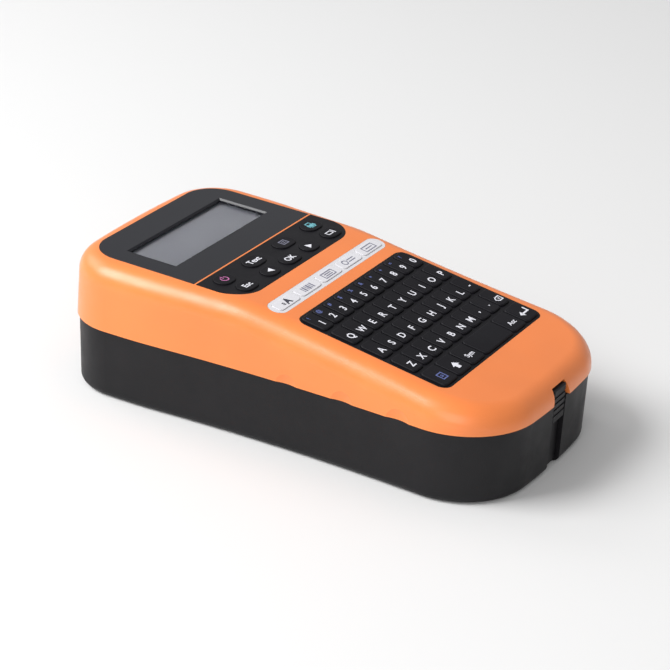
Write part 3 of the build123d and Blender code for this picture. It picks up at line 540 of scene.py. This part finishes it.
# %% Ink on its key
inks = {
    "white": moulded("ink_white", srgb(232, 232, 240), 0.5, depth=0.000003, drift=0.03),
    "blue": moulded("ink_blue", srgb(92, 104, 160), 0.5, depth=0.000003, drift=0.03),
    "grey": moulded("ink_grey", srgb(120, 120, 138), 0.5, depth=0.000003, drift=0.03),
    "dark": moulded("ink_dark", srgb(52, 52, 66), 0.5, depth=0.000003, drift=0.03),
    "cyan": moulded("ink_cyan", srgb(112, 182, 194), 0.5, depth=0.000003, drift=0.03),
    "rose": moulded("ink_rose", srgb(196, 112, 168), 0.5, depth=0.000003, drift=0.03),
}


def print_ink(body, colour, marks):
    """One piece that holds every mark of a colour on a body. A mark is a shape and its place."""
    points, faces, start = [], [], 0
    for (shape_points, shape_faces), place in marks:
        turn = np.array(place)
        points.append(shape_points @ turn[:3, :3].T + turn[:3, 3])
        faces += [tuple(int(i) + start for i in face) for face in shape_faces]
        start += len(shape_points)
    mesh = bpy.data.meshes.new(f"legend_{body}_{colour}")
    mesh.from_pydata(np.vstack(points).tolist(), [], faces)
    mesh.materials.append(inks[colour])
    piece = bpy.data.objects.new(mesh.name, mesh)
    bpy.context.scene.collection.objects.link(piece)
    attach(piece, body)
    return piece


def key_top(x, y, across=0.0, up=0.0, rise=key_rise):
    """Where ink lies on a key: over the key's centre, moved across and up its face."""
    return on_face(x, y, rise + ink_gap + ink_thickness / 2) @ Matrix.Translation((across, up, 0))


# %% [markdown]
# ### Letters and digits
# Each of the four upper rows is one moulded strip of ten keys, and moves as one body. The
# main legend sits low on the key, and the digit keys carry a small second symbol at their
# upper left, printed in blue. A loop over each row's text sets the marks at the same
# pitch as the keys, which a list of places would have to repeat forty times.

# %% Letters and digits
letter_size, small_size = 4.6 * MM, 2.7 * MM
letter_side, letter_drop = 0.2 * MM, -1.9 * MM
small_side, small_lift = -1.7 * MM, 3.4 * MM
rows = ("1234567890", "QWERTYUIOP", "ASDFGHJKL-", "ZXCVBNM,.")
erase_row, erase_column, erase_pen = 3, 9, 0.5 * MM
cross_size, cross_side = 2.4 * MM, 0.5 * MM
second_symbols = "!@#$%&*+=?"
middle_column = 4.5


def column_x(index):
    """A key's place across: its distance in columns from the middle, times the column pitch."""
    return (index - middle_column) * column_pitch


def row_y(row):
    """A row's place along the printer: each row lies one row pitch nearer the palm."""
    return first_row_y - row * row_pitch


legends = []
for row, text in enumerate(rows):
    marks = [(letter_sheet(mark, letter_size), key_top(column_x(i), row_y(row), letter_side, letter_drop))
             for i, mark in enumerate(text)]
    if row == erase_row:
        erase = [(-2.0, 0.0), (-0.7, 1.3), (2.0, 1.3), (2.0, -1.3), (-0.7, -1.3)]
        erase = stroke(np.array(erase) * MM, erase_pen, closed=True)
        erase_x = column_x(erase_column)
        marks.append((erase, key_top(erase_x, row_y(row), 0, letter_drop)))
        marks.append((letter_sheet("x", cross_size), key_top(erase_x, row_y(row), cross_side, letter_drop)))
    legends.append(print_ink(f"key_row_{row + 1}", "white", marks))
marks = [(letter_sheet(mark, small_size), key_top(column_x(i), row_y(0), small_side, small_lift))
         for i, mark in enumerate(second_symbols)]
legends.append(print_ink("key_row_1", "blue", marks))
print("legends:", len(legends))

# %% [markdown]
# ### The bottom row
# Beside the blank space bar stand the wider keys: capitals, shift and symbols at the left,
# accents and enter at the right. No typeface is sure to hold these signs, so they are drawn:
# outlines with a pen of even width, and a filled arrow.

# %% The bottom row
# Three wide keys, the space bar and two wide keys share the width of ten columns
keyboard_end, wide_key = 5 * column_pitch, 1.4 * column_pitch
left_edges = np.arange(4) * wide_key - keyboard_end
bottom_edges = np.concatenate([left_edges, keyboard_end - np.arange(2, -1, -1) * wide_key])
bottom_x = (bottom_edges[:-1] + bottom_edges[1:]) / 2
bottom_row = 4
bottom_y = row_y(bottom_row)
pen, enter_pen = 0.55 * MM, 0.8 * MM
caps_drop, sign_drop, enter_drop = -1.2 * MM, -1.4 * MM, -0.6 * MM
caps_size, word_size = 3.0 * MM, 3.3 * MM
caps_place = key_top(bottom_x[0], bottom_y, 0, caps_drop)
caps = [(stroke(frame_of(3.2, 3.6) * MM, pen, closed=True), caps_place),
        (letter_sheet("a", caps_size), caps_place)]
legends.append(print_ink("key_row_5", "blue", caps))
arrow = np.array([(-2.3, 0.0), (0.0, 2.4), (2.3, 0.0), (1.0, 0.0), (1.0, -1.9), (-1.0, -1.9),
                  (-1.0, 0.0)]) * MM
shift_sign = plate(arrow[::-1])
enter_path = np.array([(3.0, 2.0), (3.0, -0.8), (-1.6, -0.8)]) * MM
enter_head = np.array([(-3.4, -0.8), (-1.2, -2.4), (-1.2, 0.8)]) * MM
bottom_marks = [
    (shift_sign, key_top(bottom_x[1], bottom_y, 0, sign_drop)),
    (letter_sheet("Sym", word_size), key_top(bottom_x[2], bottom_y, 0, sign_drop)),
    (letter_sheet("Acc", word_size), key_top(bottom_x[4], bottom_y, 0, sign_drop)),
    (stroke(enter_path, enter_pen), key_top(bottom_x[5], bottom_y, 0, enter_drop)),
    (plate(enter_head), key_top(bottom_x[5], bottom_y, 0, enter_drop)),
]
legends.append(print_ink("key_row_5", "white", bottom_marks))
print("legends:", len(legends))

# %% [markdown]
# ### Function keys
# Two rows of keys sit under the display. The upper row has the power ring, a text key, a
# file icon and a print icon, and the lower row has escape, two arrows, OK and the feed sign.
# The keys are not evenly spaced, so each mark takes its place across from its key's own box.

# %% Function keys
thick_pen, thin_pen = 0.5 * MM, 0.45 * MM
large_word, small_word = 4.2 * MM, 3.9 * MM
power = stroke(disc(1.7 * MM, start=125, stop=415), thick_pen)
power_bar = plate(frame_of(0.5, 1.9) * MM)
page = stroke(frame_of(3.6, 3.0) * MM, thick_pen, closed=True)
page_line = plate(frame_of(2.0, 0.45) * MM)
printer_body = plate(frame_of(4.6, 1.9) * MM)
printer_sheet = stroke(frame_of(2.7, 3.9) * MM, thin_pen, closed=True)
triangle = np.array([(-1.7, 0.0), (1.3, -1.75), (1.3, 1.75)]) * MM
feed_bar = plate(frame_of(0.5, 3.2) * MM)
feed_sheet = stroke(frame_of(3.4, 2.0) * MM, thin_pen, closed=True)
key_x = {}
for name in nodes:
    if name.startswith("key_"):
        key_low, key_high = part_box(name)
        key_x[name] = (key_low.x + key_high.x) / 2


def upper(name, across=0.0, up=0.0):
    """A place on a key of the upper row, moved across and up its top in millimetres."""
    return key_top(key_x[name], function_row_a, across * MM, up * MM, function_rise)


def lower(name, across=0.0, up=0.0):
    """A place on a key of the lower row, moved across and up its top in millimetres."""
    return key_top(key_x[name], function_row_b, across * MM, up * MM, function_rise)


function_marks = [
    ("key_power", "rose", [(power, upper("key_power")), (power_bar, upper("key_power", 0, 1.3))]),
    ("key_text", "white", [(letter_sheet("Text", large_word), upper("key_text"))]),
    ("key_file", "grey", [(page, upper("key_file")), (page_line, upper("key_file", 0, 0.5)),
                          (page_line, upper("key_file", 0, -0.5))]),
    ("key_print", "cyan", [(printer_body, upper("key_print", 0, -0.2)),
                           (printer_sheet, upper("key_print", 0, 0.3))]),
    ("key_escape", "white", [(letter_sheet("Esc", small_word), lower("key_escape"))]),
    ("key_left", "white", [(plate(triangle), lower("key_left"))]),
    ("key_ok", "white", [(letter_sheet("OK", large_word), lower("key_ok"))]),
    ("key_right", "white", [(plate(triangle[::-1] * (-1, 1)), lower("key_right"))]),
    ("key_feed", "white", [(feed_sheet, lower("key_feed", -0.9)), (feed_bar, lower("key_feed", 1.9))]),
]
for body, colour, marks in function_marks:
    legends.append(print_ink(body, colour, marks))
print("legends:", len(legends))

# %% [markdown]
# ### Label type keys
# The white strip has five flat keys with small grey pictures of label layouts. The first
# shows a small and a capital letter. The rest could be loaded as drawings, but at this size
# they are no more than bars and frames, which a few lines make.

# %% Label type keys
bars = [plate(frame_of(w, 3.2) * MM) for w in (0.5, 0.9, 0.5, 1.1, 0.5, 0.8)]
wide_frame = stroke(frame_of(7.6, 3.2) * MM, thick_pen, closed=True)
wide_line = plate(frame_of(5.0, 0.5) * MM)
cable_ring = stroke(disc(1.4 * MM), thick_pen, closed=True)
bar_start, bar_pitch = -3.4, 1.35


def strip_key(index, across=0.0, up=0.0):
    """A place on a key of the strip, counted from the left, moved in millimetres. The middle key
    is number 2 and lies on the printer's centre line."""
    return key_top((index - 2) * label_key_pitch, strip_y, across * MM, up * MM, label_rise)


strip_marks = [
    ("dark", [(letter_sheet("a", 3.6 * MM, 0.01), strip_key(0, -2.2, -0.4)),
              (letter_sheet("A", 4.8 * MM, 0.05), strip_key(0, 0.9, 0.0))]),
    ("grey", [(bar, strip_key(1, bar_start + bar_pitch * i)) for i, bar in enumerate(bars)]),
    ("grey", [(wide_frame, strip_key(2)), (wide_line, strip_key(2, 0, 0.55)),
              (wide_line, strip_key(2, 0, -0.55))]),
    ("grey", [(cable_ring, strip_key(3, -3.0)), (wide_line, strip_key(3, 1.6, 0.7)),
              (wide_line, strip_key(3, 1.6, -0.7))]),
    ("grey", [(wide_frame, strip_key(4)), (wide_line, strip_key(4))]),
]
for index, (colour, marks) in enumerate(strip_marks):
    legends.append(print_ink(f"label_type_key_{index + 1}", colour, marks))
print("legends:", len(legends))
